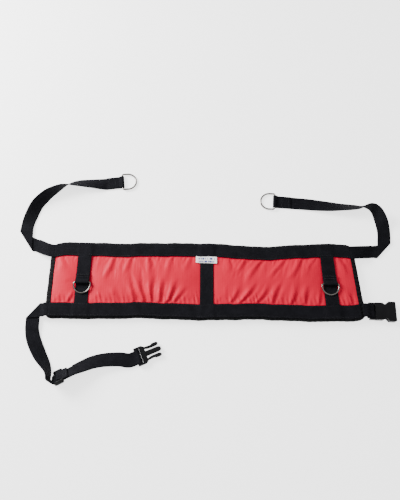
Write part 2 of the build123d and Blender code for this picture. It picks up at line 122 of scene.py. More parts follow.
# Matt paper sweep: a nearly white surface with no gloss, only a faint unevenness.
paper, tree, shader = new_material("matt_paper_sweep", Roughness=0.9, Specular_IOR_Level=0.1)
unevenness = add_node(tree, "ShaderNodeTexNoise", {"Scale": 6.0, "Detail": 3.0})
paper_tone = add_node(
    tree, "ShaderNodeMix",
    {"Factor": unevenness.outputs["Fac"], MIX_A: linear(FLOOR_COLOUR), MIX_B: linear(FLOOR_PALER)},
    data_type="RGBA")
tree.links.new(paper_tone.outputs[MIXED], shader.inputs["Base Color"])
shader.inputs["Emission Color"].default_value = linear(FLOOR_COLOUR)
shader.inputs["Emission Strength"].default_value = FLOOR_GLOW

bm = bmesh.new()
bmesh.ops.create_grid(bm, x_segments=1, y_segments=1, size=FLOOR_REACH)
bmesh.ops.translate(bm, verts=bm.verts, vec=(0, 0, FLOOR_HEIGHT))
floor_mesh = bpy.data.meshes.new("floor")
bm.to_mesh(floor_mesh)
bm.free()
link_object("floor", floor_mesh, paper)

world = bpy.data.worlds.new("studio")
world.use_nodes = True
background = world.node_tree.nodes["Background"]
sky_map = add_node(world.node_tree, "ShaderNodeTexCoord")
sky_split = add_node(world.node_tree, "ShaderNodeSeparateXYZ", {"Vector": sky_map.outputs["Generated"]})
sky_ramp = add_node(world.node_tree, "ShaderNodeValToRGB", {"Fac": sky_split.outputs["Z"]})
sky_ramp.color_ramp.elements[0].color = SKY_HORIZON
sky_ramp.color_ramp.elements[1].color = SKY_ZENITH
sky_ramp.color_ramp.elements[1].position = SKY_FULL_AT
world.node_tree.links.new(sky_ramp.outputs["Color"], background.inputs["Color"])
background.inputs["Strength"].default_value = SKY_STRENGTH
bpy.context.scene.world = world

lamp_data = bpy.data.lights.new("softbox", "AREA")
lamp_data.size = LAMP_SIZE
lamp_data.energy = LAMP_POWER
lamp = bpy.data.objects.new("softbox", lamp_data)
lamp.location = LAMP_AT
lamp.rotation_euler = (-Vector(LAMP_AT)).to_track_quat("-Z", "Y").to_euler()
bpy.context.scene.collection.objects.link(lamp)


# Front shell: red nylon pack cloth over a thin foam pad, caught in the seams under the webbings and the
# binding. The seams gather it, so it swells between them and puckers, most along the lower seam.
MM = 0.001
PAD_LEFT = -296.0
PAD_RIGHT = 285.0                # at half height
PAD_RIGHT_SLANT = 12.0 / 148.0   # how much further right the end is per millimetre down
PAD_HALF = 74.0
PAD_T = 11.0
BINDING_FACE = 10.5
BORDER_Y = 57.4
WEB = 25.0
WEB_T = 1.5
STRAP_XS = (-230.0, 0.0, 228.0)
SHELL_STEP = 2.0
SEAM_Y = 45.0                    # about where the border webbings start to cover the cloth
SHELL_HALF = SEAM_Y + 2.0
SHELL_TUCK = 7.0                 # how far in from the pad's ends the cloth stops, under the binding
SHELL_LOWEST = 10.2
SHELL_BY_STRAP = 11.4            # how high it may stand right beside a strap
SHELL_HIGHEST = 16.0
# The two reds are the cloth as lit and as shaded: painted light and shade.
RED_LIT = "#E00A38"
RED_SHADED = "#BE062A"


# How the sewn edges wander: height, middle and width of each rise or dip.
TOP_WANDER = [(-6.0, 105, 62), (-1.8, -165, 38), (1.0, 240, 28), (-4.0, -296, 16), (-3.5, 284, 14)]
BOTTOM_WANDER = [(1.9, -122, 42), (-1.0, -10, 35), (1.2, 90, 40), (-1.8, 195, 60), (2.0, -296, 14),
                 (4.0, 287, 14)]


def hump(x, centre, width):
    """Smooth bump of height 1."""
    return math.exp(-((x - centre) / width) ** 2)


def smooth_step(x, low, high):
    t = min(max((x - low) / (high - low), 0.0), 1.0)
    return t * t * (3 - 2 * t)


def sway(x, y):
    """How far the sewn pad's edges wander up or down along Y, none in the middle where the rings hang."""
    ripple = 0.35 * math.sin(x / 11.0) + 0.25 * math.sin(x / 5.3 + 1.0)
    top = 1.6 + ripple + sum(height * hump(x, centre, width) for height, centre, width in TOP_WANDER)
    bottom = 0.3 + ripple + sum(height * hump(x, centre, width) for height, centre, width in BOTTOM_WANDER)
    return top * smooth_step(y, 6, 46) + bottom * smooth_step(-y, 27, 48)


def on_pad(x, y, z):
    """Point of the square-cut pad to its place on the real one, with its slanted end and wandering edges."""
    share = (x - PAD_LEFT) / (PAD_RIGHT - PAD_LEFT)
    return Vector((x - PAD_RIGHT_SLANT * y * max(share, 0.0) ** 6, y + sway(x, y), z))


def grid_piece(name, columns, rows, place):
    """Grid of faces moved to its place, with a UV map in metres.

    A column is a distance along, or that and how much further along it lies per millimetre across. place
    takes a distance along and one across.
    """
    bm = bmesh.new()
    bmesh.ops.create_grid(bm, x_segments=len(columns) - 1, y_segments=len(rows) - 1, size=0.5)
    uv = bm.loops.layers.uv.new("cloth")
    flat = {}
    for vert in bm.verts:
        i = round((vert.co.x + 0.5) * (len(columns) - 1))
        j = round((vert.co.y + 0.5) * (len(rows) - 1))
        along, skew = columns[i] if isinstance(columns[i], tuple) else (columns[i], 0.0)
        flat[vert] = (along + skew * rows[j], rows[j])
    for vert, (along, across) in flat.items():
        vert.co = place(along, across) * MM
    for face in bm.faces:
        face.smooth = True
        for loop in face.loops:
            along, across = flat[loop.vert]
            loop[uv].uv = (along * MM, across * MM)
    mesh = bpy.data.meshes.new(name)
    bm.to_mesh(mesh)
    bm.free()
    return mesh


def steps(low, high, step):
    count = max(1, round((high - low) / step))
    return [low + (high - low) * i / count for i in range(count + 1)]


def held_down(x):
    """Whether the cloth is under a vertical strap or in the binding of an end."""
    nearest = min(abs(x - centre) for centre in STRAP_XS)
    ends = min(x - (PAD_LEFT + BINDING_FACE), (PAD_RIGHT - BINDING_FACE) - x)
    return nearest < WEB / 2 - 0.5 or ends < 0


# Folds of the gathered cloth. Each one starts at a seam, at x in millimetres, with its lean sideways per
# millimetre away from the seam, its reach, depth and half width. Seam 1 is the upper one, -1 the lower.
LONG_FOLDS = [
    (-176, 1, -0.5, 60, 1.5, 7.0), (-150, 1, -0.25, 46, 1.2, 6.5), (-118, 1, 0.3, 52, 1.3, 7.0),
    (-64, 1, -0.4, 44, 1.0, 7.0), (-36, 1, -0.3, 36, 0.9, 6.0), (-132, -1, -0.55, 62, 1.6, 6.5),
    (-117, -1, -0.2, 74, 1.9, 6.0), (-104, -1, 0.1, 66, 1.8, 5.0), (-92, -1, 0.3, 58, 2.0, 5.0),
    (-80, -1, 0.55, 54, 1.7, 5.5), (-58, -1, 0.5, 40, 1.0, 5.5), (-160, -1, -0.4, 42, 1.0, 6.0),
    (34, 1, 0.5, 46, 1.0, 7.5), (72, 1, -0.4, 56, 1.2, 7.5), (104, 1, -0.6, 62, 1.4, 7.0),
    (140, 1, -0.6, 56, 1.3, 7.5), (176, 1, -0.7, 58, 1.4, 7.0), (204, 1, -0.6, 40, 0.9, 6.0),
    (38, -1, 0.5, 44, 1.2, 6.0), (62, -1, 0.55, 56, 1.5, 6.0), (88, -1, 0.55, 50, 1.3, 6.0),
    (116, -1, 0.5, 58, 1.5, 6.0), (146, -1, 0.5, 48, 1.4, 6.0), (172, -1, 0.4, 44, 1.3, 5.5),
    (196, -1, 0.3, 34, 1.1, 5.0), (-262, -1, 0.7, 40, 1.1, 5.0), (-272, 1, 0.3, 34, 0.8, 6.0),
    (258, -1, -0.5, 36, 1.2, 5.0), (268, -1, -0.2, 30, 1.2, 4.0), (256, 1, 0.1, 36, 0.9, 6.0),
]
PUCKER_PITCH = 8.5
FOLD_GAIN = 1.35


def fold_height(x, y):
    """Height of the folds: a ridge with a crease beside it, deepest near its seam and fading out."""
    height = 0.0
    for start, seam, lean, reach, depth, half in LONG_FOLDS:
        away = SEAM_Y - seam * y
        if away < reach:
            bend = 5.0 * math.sin(away / 19.0 + start)
            t = (x - start - lean * away - bend) / (half * (0.55 + 0.75 * away / reach))
            fade = smooth_step(away, 0, 5) * (1 - smooth_step(away, 0.35 * reach, reach))
            height += FOLD_GAIN * depth * fade * (math.exp(-t * t) - 0.75 * math.exp(-(t - 1.7) ** 2))
    return height


def puckers(x, y):
    """Short gathers along both seams, deeper along the lower one."""
    height = 0.0
    for seam, depth, reach in ((1, 0.6, 10.0), (-1, 1.35, 17.0)):
        away = SEAM_Y - seam * y
        wander = 0.45 * PUCKER_PITCH * noise.noise(Vector((x / 17.0, 3.0 * seam, 5)))
        varied = 0.5 + noise.noise(Vector((x / 12.0, 9.0 * seam, 1)))
        length = reach * (0.6 + varied)
        wave = math.sin(2 * math.pi * (x + wander + 0.3 * away) / PUCKER_PITCH)
        fade = smooth_step(away, 0, 3) * (1 - smooth_step(away, 0.3 * length, length))
        height += depth * varied * wave * fade
    return height


def shell_start(x, y):
    """The gathered cloth before it settles: a low crown between the seams, with its folds."""
    nearest = min(abs(x - centre) - WEB / 2 for centre in STRAP_XS)
    ends = min(x - (PAD_LEFT + BINDING_FACE), (PAD_RIGHT - BINDING_FACE) - x)
    inside = min(SEAM_Y - abs(y), nearest, ends)
    crown = 2.4 * smooth_step(inside, -2, 24)
    fine = 0.7 * noise.noise(Vector((x / 14.0, y / 22.0, 0)))
    fine += 0.25 * noise.noise(Vector((x / 6.0, y / 9.0, 4)))
    folds = (fold_height(x, y) + puckers(x, y) + fine) * smooth_step(min(nearest, ends), 0, 7)
    return Vector((x, y, PAD_T - 0.4 + crown + folds))


shell_columns = steps(PAD_LEFT + SHELL_TUCK, PAD_RIGHT - SHELL_TUCK, SHELL_STEP)
shell_rows = steps(-SHELL_HALF, SHELL_HALF, SHELL_STEP)
shell_mesh = grid_piece("front_shell_cloth", shell_columns, shell_rows, shell_start)
shell = link_object("front_shell_cloth", shell_mesh)


def settle_cloth(piece, frames=20):
    """Lets the foam swell the gathered cloth until it pulls against its seams, then keeps that shape."""
    held = piece.vertex_groups.new(name="seams")
    for vert in piece.data.vertices:
        if abs(vert.co.y / MM) > SEAM_Y - 0.2 or held_down(vert.co.x / MM):
            held.add([vert.index], 1.0, "REPLACE")
    cloth = piece.modifiers.new("settle", "CLOTH")
    cloth.settings.quality = 6
    cloth.settings.mass = 0.002
    cloth.settings.air_damping = 0.3
    cloth.settings.tension_stiffness = 15.0
    cloth.settings.compression_stiffness = 15.0
    cloth.settings.shear_stiffness = 3.0
    cloth.settings.bending_stiffness = 0.02
    cloth.settings.vertex_group_mass = held.name
    cloth.settings.pin_stiffness = 5.0
    cloth.settings.use_pressure = True
    cloth.settings.uniform_pressure_force = 8.0
    cloth.settings.effector_weights.gravity = 0.0
    cloth.collision_settings.use_collision = False
    cloth.collision_settings.use_self_collision = False
    cloth.point_cache.frame_start = 1
    cloth.point_cache.frame_end = frames
    for step in range(1, frames + 1):
        bpy.context.scene.frame_set(step)
    settled = piece.evaluated_get(bpy.context.evaluated_depsgraph_get())
    places = [vert.co.copy() for vert in settled.data.vertices]
    piece.modifiers.remove(cloth)
    piece.vertex_groups.clear()
    bpy.context.scene.frame_set(1)
    for vert, place in zip(piece.data.vertices, places):
        vert.co = place


settle_cloth(shell)

for vert in shell.data.vertices:
    x, y, z = vert.co / MM
    near_strap = min(abs(x - centre) for centre in STRAP_XS) - WEB / 2
    ceiling = SHELL_BY_STRAP + (SHELL_HIGHEST - SHELL_BY_STRAP) * smooth_step(near_strap, 0, 16)
    vert.co = on_pad(x, y, min(max(z, SHELL_LOWEST), ceiling)) * MM

# Red nylon pack cloth with a coated back: a plain weave with a soft sheen. The threads are drawn 4.4 mm
# apart, much coarser than real ones, which would not show from this distance.
THREAD_PITCH = 0.0044


def bands(pitch):
    """Scale of a wave texture whose bands along one axis lie a pitch apart."""
    return 2 * math.pi / (20 * pitch)


red_nylon, tree, shader = new_material(
    "red_nylon_pack_cloth", Roughness=0.5, IOR=1.5, Specular_IOR_Level=0.14)
cloth_map = add_node(tree, "ShaderNodeTexCoord")
threads = []
for direction in ("X", "Y"):
    threads.append(add_node(
        tree, "ShaderNodeTexWave",
        {"Vector": cloth_map.outputs["UV"], "Scale": bands(THREAD_PITCH), "Distortion": 0.4, "Detail": 1.0},
        bands_direction=direction, wave_profile="SIN"))
weave = add_node(tree, "ShaderNodeMath", {0: threads[0].outputs["Fac"], 1: threads[1].outputs["Fac"]},
                 operation="MULTIPLY")
# The cloth's colour is mixed between the lit red and the shaded red in large random patches: painted light
# and shade, scattered at random over the cloth.
fade = add_node(tree, "ShaderNodeTexNoise",
                {"Vector": cloth_map.outputs["Object"], "Scale": 22.0, "Detail": 4.0, "Roughness": 0.6})
red_light_and_shade = add_node(tree, "ShaderNodeMix",
                    {"Factor": fade.outputs["Fac"], MIX_A: linear(RED_SHADED), MIX_B: linear(RED_LIT)},
                    data_type="RGBA")
tree.links.new(red_light_and_shade.outputs[MIXED], shader.inputs["Base Color"])
weave_bump = add_node(tree, "ShaderNodeBump",
                      {"Strength": 0.25, "Distance": 0.0003, "Height": weave.outputs["Value"]})
crush = add_node(tree, "ShaderNodeTexNoise",
                 {"Vector": cloth_map.outputs["Object"], "Scale": 140.0, "Detail": 3.0})
crush_bump = add_node(tree, "ShaderNodeBump",
                      {"Strength": 0.25, "Distance": 0.0006, "Height": crush.outputs["Fac"],
                       "Normal": weave_bump.outputs["Normal"]})
tree.links.new(crush_bump.outputs["Normal"], shader.inputs["Normal"])
shell.data.materials.append(red_nylon)


def finish_with(piece, subdivide=0, thickness=0.0, bevel=0.0, offset=0.0):
    """Modifiers that finish a piece: wall thickness, softened edges, then subdivision."""
    if thickness:
        wall = piece.modifiers.new("wall", "SOLIDIFY")
        wall.thickness = thickness * MM
        wall.offset = offset
    if bevel:
        edge = piece.modifiers.new("edge", "BEVEL")
        edge.width = bevel * MM
        edge.segments = 2
        edge.limit_method = "ANGLE"
        edge.angle_limit = math.radians(50)
    if subdivide:
        surface = piece.modifiers.new("surface", "SUBSURF")
        surface.levels = subdivide
        surface.render_levels = subdivide


finish_with(shell, subdivide=1, thickness=0.6, offset=-1.0)
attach(shell, "pad")
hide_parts("front_shell", "foam_core")


# Back lining: one plain black nylon panel on the side that touches the wearer. It lies flat, and its
# edge is caught in the binding all round. Its diagonal weave lines are drawn 9 mm apart,
# much coarser than real ones.
LINING_IN = 6.0
LINING_PITCH = 0.00628           # diagonal bands come out 1.4 times as far apart
LINING_DARK = "#121214"
LINING_LIGHT = "#222226"
lining_nylon, tree, shader = new_material(
    "black_nylon_lining", Roughness=0.6, IOR=1.5, Specular_IOR_Level=0.15)
cloth_map = add_node(tree, "ShaderNodeTexCoord")
lining_weave = add_node(tree, "ShaderNodeTexWave",
                        {"Vector": cloth_map.outputs["UV"], "Scale": bands(LINING_PITCH), "Distortion": 0.6},
                        bands_direction="DIAGONAL")
lining_tone = add_node(
    tree, "ShaderNodeMix",
    {"Factor": lining_weave.outputs["Fac"], MIX_A: linear(LINING_DARK), MIX_B: linear(LINING_LIGHT)},
    data_type="RGBA")
tree.links.new(lining_tone.outputs[MIXED], shader.inputs["Base Color"])
lining_bump = add_node(tree, "ShaderNodeBump",
                       {"Strength": 0.3, "Distance": 0.0003, "Height": lining_weave.outputs["Fac"]})
tree.links.new(lining_bump.outputs["Normal"], shader.inputs["Normal"])



def on_back(x, y):
    return on_pad(x, y, 0.75 + 0.3 * noise.noise(Vector((x / 25, y / 25, 3))))


lining_columns = steps(PAD_LEFT + LINING_IN, PAD_RIGHT - LINING_IN, 8.0)
lining_rows = steps(LINING_IN - PAD_HALF, PAD_HALF - LINING_IN, 8.0)
lining_mesh = grid_piece("back_lining_cloth", lining_columns, lining_rows, on_back)
lining = link_object("back_lining_cloth", lining_mesh, lining_nylon)
finish_with(lining, thickness=0.6)
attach(lining, "pad")
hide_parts("back_lining")


# Edge binding: black ribbed nylon tape, folded round the pad's raw edge and sewn through. Four runs, the
# top and bottom ones turning the rounded corners. The ribs are drawn 7.5 mm apart, coarser than real ones.
CORNER = 12.0
TAPE_T = 0.9
TAPE_STEP = 3.0
RIB_PITCH = 0.00754
TAPE_DARK = "#08080A"
TAPE_LIGHT = "#161618"

binding_nylon, tree, shader = new_material(
    "black_binding_tape", Roughness=0.75, IOR=1.5, Specular_IOR_Level=0.08)
cloth_map = add_node(tree, "ShaderNodeTexCoord")
tape_ribs = add_node(tree, "ShaderNodeTexWave",
                     {"Vector": cloth_map.outputs["UV"], "Scale": bands(RIB_PITCH), "Distortion": 0.3},
                     bands_direction="X")
tape_tone = add_node(
    tree, "ShaderNodeMix",
    {"Factor": tape_ribs.outputs["Fac"], MIX_A: linear(TAPE_DARK), MIX_B: linear(TAPE_LIGHT)},
    data_type="RGBA")
tree.links.new(tape_tone.outputs[MIXED], shader.inputs["Base Color"])
tape_bump = add_node(tree, "ShaderNodeBump",
                     {"Strength": 0.5, "Distance": 0.0004, "Height": tape_ribs.outputs["Fac"]})
tree.links.new(tape_bump.outputs["Normal"], shader.inputs["Normal"])


def tape_profile(across):
    """Inset and height of the folded tape: from its upper edge, round the pad's edge, to its lower edge."""
    top = PAD_T - TAPE_T / 2
    low = TAPE_T / 2
    radius = (top - low) / 2
    flat = BINDING_FACE - radius
    if across < flat:
        return BINDING_FACE - across, top
    angle = (across - flat) / radius
    if angle < math.pi:
        return radius - (radius - TAPE_T / 2) * math.sin(angle), low + radius * (1 + math.cos(angle))
    return radius + (across - flat - math.pi * radius), low


def edge_run(side):
    """Outer line of one run of binding, as points and inward directions."""
    points = []
    if side in ("left", "right"):
        x, inward = (PAD_LEFT, 1) if side == "left" else (PAD_RIGHT, -1)
        for y in steps(CORNER - PAD_HALF, PAD_HALF - CORNER, TAPE_STEP):
            points.append((Vector((x, y * -inward)), Vector((inward, 0))))
        return points
    sign = 1 if side == "top" else -1
    for end, x in ((1, PAD_RIGHT), (-1, PAD_LEFT)):
        corner = []
        for angle in steps(0, 90, 10):
            out = Vector((end * math.cos(math.radians(angle)), sign * math.sin(math.radians(angle))))
            centre = Vector((x - end * CORNER, sign * (PAD_HALF - CORNER)))
            corner.append((centre + out * CORNER, -out))
        if end == 1:
            points += corner
            for straight in steps(PAD_RIGHT - CORNER, PAD_LEFT + CORNER, -TAPE_STEP)[1:-1]:
                points.append((Vector((straight, sign * PAD_HALF)), Vector((0, -sign))))
        else:
            points += reversed(corner)
    return points if sign == 1 else points[::-1]


def binding_run(side):
    points = edge_run(side)
    across_total = 2 * (BINDING_FACE - (PAD_T - TAPE_T) / 2) + math.pi * (PAD_T - TAPE_T) / 2

    def place(along, across):
        number = min(int(along), len(points) - 1)
        spot, inward = points[number]
        inset, height = tape_profile(across)
        ripple = 0.25 * math.sin(number * 1.7) + 0.2 * math.sin(number * 0.61)
        at = spot + inward * (inset + 0.25 + ripple * 0.6)
        return on_pad(at.x, at.y, height)

    mesh = grid_piece(f"binding_{side}_tape", list(range(len(points))), steps(0, across_total, 1.6), place)
    for loop in mesh.uv_layers["cloth"].data:
        loop.uv = (loop.uv[0] * TAPE_STEP, loop.uv[1])
    piece = link_object(f"binding_{side}_tape", mesh, binding_nylon)
    bm = bmesh.new()
    bm.from_mesh(mesh)
    bmesh.ops.recalc_face_normals(bm, faces=bm.faces)
    bm.to_mesh(mesh)
    bm.free()
    finish_with(piece, thickness=TAPE_T, offset=0.0)
    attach(piece, "pad")
    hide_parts(f"binding_{side}")
    length = sum((b[0] - a[0]).length for a, b in zip(points, points[1:])) * MM


for side in ("top", "bottom", "left", "right"):
    binding_run(side)


# Webbing: black nylon, 25 mm wide, woven in a herringbone with a rounded selvedge. Each run is a flat
# strip moved to its path, given its thickness and softened along its edges.
HERRINGBONE_ROW = 0.0031
HERRINGBONE_PITCH = 0.0016
WEBBING_DARK = "#0A0A0C"
WEBBING_LIGHT = "#2C2C32"

webbing_nylon, tree, shader = new_material(
    "black_woven_nylon_webbing", Roughness=0.7, IOR=1.2, Specular_IOR_Level=0.1)
cloth_map = add_node(tree, "ShaderNodeTexCoord")
split = add_node(tree, "ShaderNodeSeparateXYZ", {"Vector": cloth_map.outputs["UV"]})
zigzag = add_node(tree, "ShaderNodeMath", {0: split.outputs["Y"], 1: HERRINGBONE_ROW}, operation="PINGPONG")
slanted = add_node(tree, "ShaderNodeMath", {0: split.outputs["X"], 1: zigzag.outputs["Value"]},
                   operation="ADD")
turns = add_node(tree, "ShaderNodeMath", {0: slanted.outputs["Value"], 1: 2 * math.pi / HERRINGBONE_PITCH},
                 operation="MULTIPLY")
yarns = add_node(tree, "ShaderNodeMath", {0: turns.outputs["Value"]}, operation="SINE")
yarn_tone = add_node(tree, "ShaderNodeMapRange", {"Value": yarns.outputs["Value"], "From Min": -1.0})
dust = add_node(tree, "ShaderNodeTexNoise",
                {"Vector": cloth_map.outputs["Object"], "Scale": 55.0, "Detail": 5.0, "Roughness": 0.65})
mottle = add_node(tree, "ShaderNodeMath", {0: yarn_tone.outputs["Result"], 1: dust.outputs["Fac"]},
                  operation="MULTIPLY")
webbing_tone = add_node(
    tree, "ShaderNodeMix",
    {"Factor": mottle.outputs["Value"], MIX_A: linear(WEBBING_DARK), MIX_B: linear(WEBBING_LIGHT)},
    data_type="RGBA")
tree.links.new(webbing_tone.outputs[MIXED], shader.inputs["Base Color"])
webbing_bump = add_node(tree, "ShaderNodeBump",
                        {"Strength": 0.6, "Distance": 0.0004, "Height": yarn_tone.outputs["Result"]})
tree.links.new(webbing_bump.outputs["Normal"], shader.inputs["Normal"])

across_steps = steps(-WEB / 2, WEB / 2, 2.5)


def webbing(name, columns, place, body, nodes, length):
    mesh = grid_piece(name, columns, across_steps, place)
    piece = link_object(name, mesh, webbing_nylon)
    finish_with(piece, thickness=WEB_T - 0.1, bevel=0.45)
    if isinstance(body, str):
        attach(piece, body)
    else:
        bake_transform(piece)
    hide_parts(*nodes)
    length * MM


# Border webbings, sewn along both edges of the pad. They cross over the three vertical straps, so they
# rise there by one thickness, and they lie a little unevenly on the foam.
LAID_CLEAR = 0.12                  # keeps a layer from touching the one below it
BORDER_LEFT = PAD_LEFT + 8.0       # here the free straps carry on from the border webbings
BORDER_RIGHT = PAD_RIGHT - 9.0


def border_height(x):
    over = max(smooth_step(abs(x - centre), WEB / 2 + 4, WEB / 2) for centre in STRAP_XS)
    return PAD_T + WEB_T / 2 + WEB_T * over


def on_border(sign):
    def place(along, across):
        y = sign * BORDER_Y + across
        lift = 0.25 * noise.noise(Vector((along / 30, y / 30, 8)))
        return on_pad(along, y, border_height(along) + lift + LAID_CLEAR)
    return place


for side, sign in (("top", 1), ("bottom", -1)):
    webbing(f"{side}_border_webbing", steps(BORDER_LEFT, BORDER_RIGHT, 3.0), on_border(sign), "pad",
            [f"{side}_webbing"], BORDER_RIGHT - BORDER_LEFT)


# Vertical straps: three short runs sewn across the pad, their ends caught under the border webbings.
def on_vertical(centre):
    def place(along, across):
        lift = 0.2 * noise.noise(Vector((centre / 7, along / 25, across / 25)))
        return on_pad(centre + across, along, PAD_T + WEB_T / 2 + 0.1 + max(lift, -0.05))
    return place


vertical_half = BORDER_Y + WEB / 2
for name, centre in zip(("left", "centre", "right"), STRAP_XS):
    webbing(f"{name}_vertical_webbing", steps(-vertical_half, vertical_half, 4.0), on_vertical(centre),
            "pad", [f"{name}_strap"], 2 * vertical_half)


# Ring loops: a second layer on the outer vertical straps. It runs down from the upper border, turns back
# round the D-ring's straight bar, and is bar-tacked to itself and to the strap just above the ring.
RING_BAR_Y = -6.5
RING_LOOP_TAIL = 17.0
FRONT_WIRE = 1.5
GAP = 0.3


def loop_line(wire, tail, under):
    """Path that comes from `under` behind a bar, goes round it and returns on top to `tail` behind it.

    Returns points of distance past the bar and height above it.
    """
    radius = wire + GAP + WEB_T / 2
    points = [(-under + under * i / 12, -radius) for i in range(12)]
    for angle in steps(-90, 80, 10):
        points.append((radius * math.cos(math.radians(angle)), radius * math.sin(math.radians(angle))))
    drop = 3.0 * radius
    for t in steps(0.05, 1, 0.15):
        points.append((-drop * t, radius + (WEB_T - 2 * radius) * smooth_step(t, 0, 1)))
    points += [(-drop - (tail - drop) * t, WEB_T - radius) for t in steps(0.1, 1, 0.1)]
    return points


def travelled(points):
    """Distances along a line of points."""
    total = [0.0]
    for a, b in zip(points, points[1:]):
        total.append(total[-1] + (Vector(b) - Vector(a)).length)
    return total


def along_line(points, distances, at):
    """Point of a line at a distance along it."""
    i = min(max(bisect_right(distances, at) - 1, 0), len(points) - 2)
    share = (at - distances[i]) / (distances[i + 1] - distances[i])
    return Vector(points[i]).lerp(Vector(points[i + 1]), share)


ring_bar_z = PAD_T + WEB_T + FRONT_WIRE + GAP + WEB_T
loop_run = BORDER_Y - WEB / 2 - RING_BAR_Y
line = loop_line(FRONT_WIRE, RING_LOOP_TAIL, loop_run)
distances = travelled(line)
loop_columns = sorted(set(steps(0, loop_run, 4.0) + steps(loop_run, loop_run + 14, 0.8)
                          + steps(loop_run + 14, distances[-1], 2.0)))
for name, centre in (("left", STRAP_XS[0]), ("right", STRAP_XS[2])):
    def on_loop(along, across):
        past, height = along_line(line, distances, along)
        return on_pad(centre + across, RING_BAR_Y - past, ring_bar_z + height + LAID_CLEAR)

    webbing(f"{name}_ring_loop_webbing", loop_columns, on_loop, "pad", [f"{name}_ring_loop"],
            distances[-1])


# Upper straps: one webbing each from the pad's corner. It slopes down to the table, turns up in a flat
# diagonal fold, rolls over once on its way, and ends in a sewn loop that holds a D-ring.
FOLD_RADIUS = 0.85
END_WIRE = 1.6
END_TAIL = 32.0                    # how far the end loops reach back from their rings


def turn(heading):
    return Vector((math.cos(math.radians(heading)), math.sin(math.radians(heading)), 0))


def folded(start, start_heading, fold, headings, z_in, z_out):
    """Map of the run off the pad and its diagonal fold, and the distance along at which the fold lies."""
    heading_in, heading_out = headings
    centre = Vector((*fold, 0))
    crease = turn((heading_in + heading_out) / 2)
    forward = Vector((crease.y, -crease.x, 0))
    if forward.dot(turn(heading_in)) < 0:
        forward = -forward
    half = math.pi * FOLD_RADIUS / 2
    side = turn(heading_in + 90)
    run_in = abs(1 / math.tan(math.radians((heading_out - heading_in) / 2))) * WEB / 2 * 1.06 + half + 1.5
    arrive = centre - turn(heading_in) * run_in
    pull = (arrive - start).length
    distance = pull * 1.01 + run_in
    drop = PAD_T + 0.15 - z_in

    def place(along, across):
        t = along / (distance - run_in)
        z_ramp = z_in + drop * (1 - smooth_step(along, 7, distance - run_in + 4))
        if t < 1:
            point = start * (2 * t ** 3 - 3 * t ** 2 + 1) + arrive * (3 * t ** 2 - 2 * t ** 3)
            point += turn(start_heading) * pull * (t ** 3 - 2 * t ** 2 + t)
            point += turn(heading_in) * pull * (t ** 3 - t ** 2)
            heading = start_heading + (heading_in - start_heading) * smooth_step(t, 0, 1)
            point += turn(heading + 90) * across
            return Vector((point.x, point.y, z_ramp + WEB_T / 2))
        flat = turn(heading_in) * (along - distance) + side * across
        ahead = flat.dot(forward)
        if ahead < -half:
            beyond, z = ahead + half, z_ramp
        elif ahead > half:
            beyond, z = half - ahead, z_out
        else:
            angle = (ahead + half) / FOLD_RADIUS
            beyond = FOLD_RADIUS * math.sin(angle)
            z = (z_in + z_out) / 2 + (z_in - z_out) / 2 * math.cos(angle)
        point = centre + crease * flat.dot(crease) + forward * beyond
        return Vector((point.x, point.y, z + WEB_T / 2))

    return place, distance


def fold_columns(distance, headings, end):
    """Columns of a folded strap: square at first, then leaning over to lie along the crease."""
    heading_in, heading_out = headings
    lean = 1 / math.tan(math.radians((heading_out - heading_in) / 2))
    half = 0.5 * math.pi * FOLD_RADIUS * math.hypot(1, lean) + 0.3
    reach = abs(lean) * WEB / 2 * 1.06
    columns = [(s, 0.0) for s in steps(0, distance - half - reach, 2.5)[:-1]]
    columns += [(distance - half - reach * (1 - t), lean * t) for t in steps(0, 1, 0.1)[:-1]]
    columns += [(distance + s, lean) for s in steps(-half, half, 0.5)]
    columns += [(distance + half + reach * t, lean * (1 - t)) for t in steps(0, 1, 0.1)[1:]]
    return columns + [(s, 0.0) for s in steps(distance + half + reach, end, 3.0)[1:]]


def resting_height(bank):
    lean = math.radians(bank)
    return abs(math.sin(lean)) * WEB / 2 + abs(math.cos(lean)) * WEB_T / 2


class Knot(tuple):
    """x, y, bank and lift of a strap, with the sums a smooth curve needs."""
    def __add__(self, other):
        return Knot(a + b for a, b in zip(self, other))

    def __sub__(self, other):
        return Knot(a - b for a, b in zip(self, other))

    def __mul__(self, factor):
        return Knot(a * factor for a in self)

    __rmul__ = __mul__


def curve_through(knots, heading_out, per_span=14):
    """Smooth line of x, y, bank and lift through the knots, leaving the last one on a heading."""
    last_span = math.dist(knots[-1][:2], knots[-2][:2])
    ahead = turn(heading_out) * 2 * last_span
    after_last = Knot((knots[-2][0] + ahead.x, knots[-2][1] + ahead.y, knots[-1][2], knots[-1][3]))
    ends = [2 * knots[0] - knots[1]] + knots + [after_last]
    line = []
    for a, b, c, d in zip(ends, ends[1:], ends[2:], ends[3:]):
        for i in range(per_span):
            t = i / per_span
            line.append(0.5 * (2 * b + (c - a) * t + (2 * a - 5 * b + 4 * c - d) * t ** 2
                               + (3 * b - a - 3 * c + d) * t ** 3))
    return line + [knots[-1]]


def free_run(knots, side, heading_out):
    """Centres and cross directions of a run that rests on the table on its lower edge."""
    line = curve_through([Knot(k) for k in knots], heading_out)
    centres, crosses = [], []
    for i, (x, y, bank, lift) in enumerate(line):
        before, after = line[max(i - 1, 0)], line[min(i + 1, len(line) - 1)]
        heading = math.degrees(math.atan2(after[1] - before[1], after[0] - before[0]))
        lean = math.radians(bank)
        cross = turn(heading + 90) * math.cos(lean) + Vector((0, 0, math.sin(lean)))
        centres.append(Vector((x, y, resting_height(bank) + lift)))
        crosses.append(cross * side)
    lean = math.radians(knots[-1][2])
    crosses[-1] = (turn(heading_out + 90) * math.cos(lean) + Vector((0, 0, math.sin(lean)))) * side
    return centres, crosses


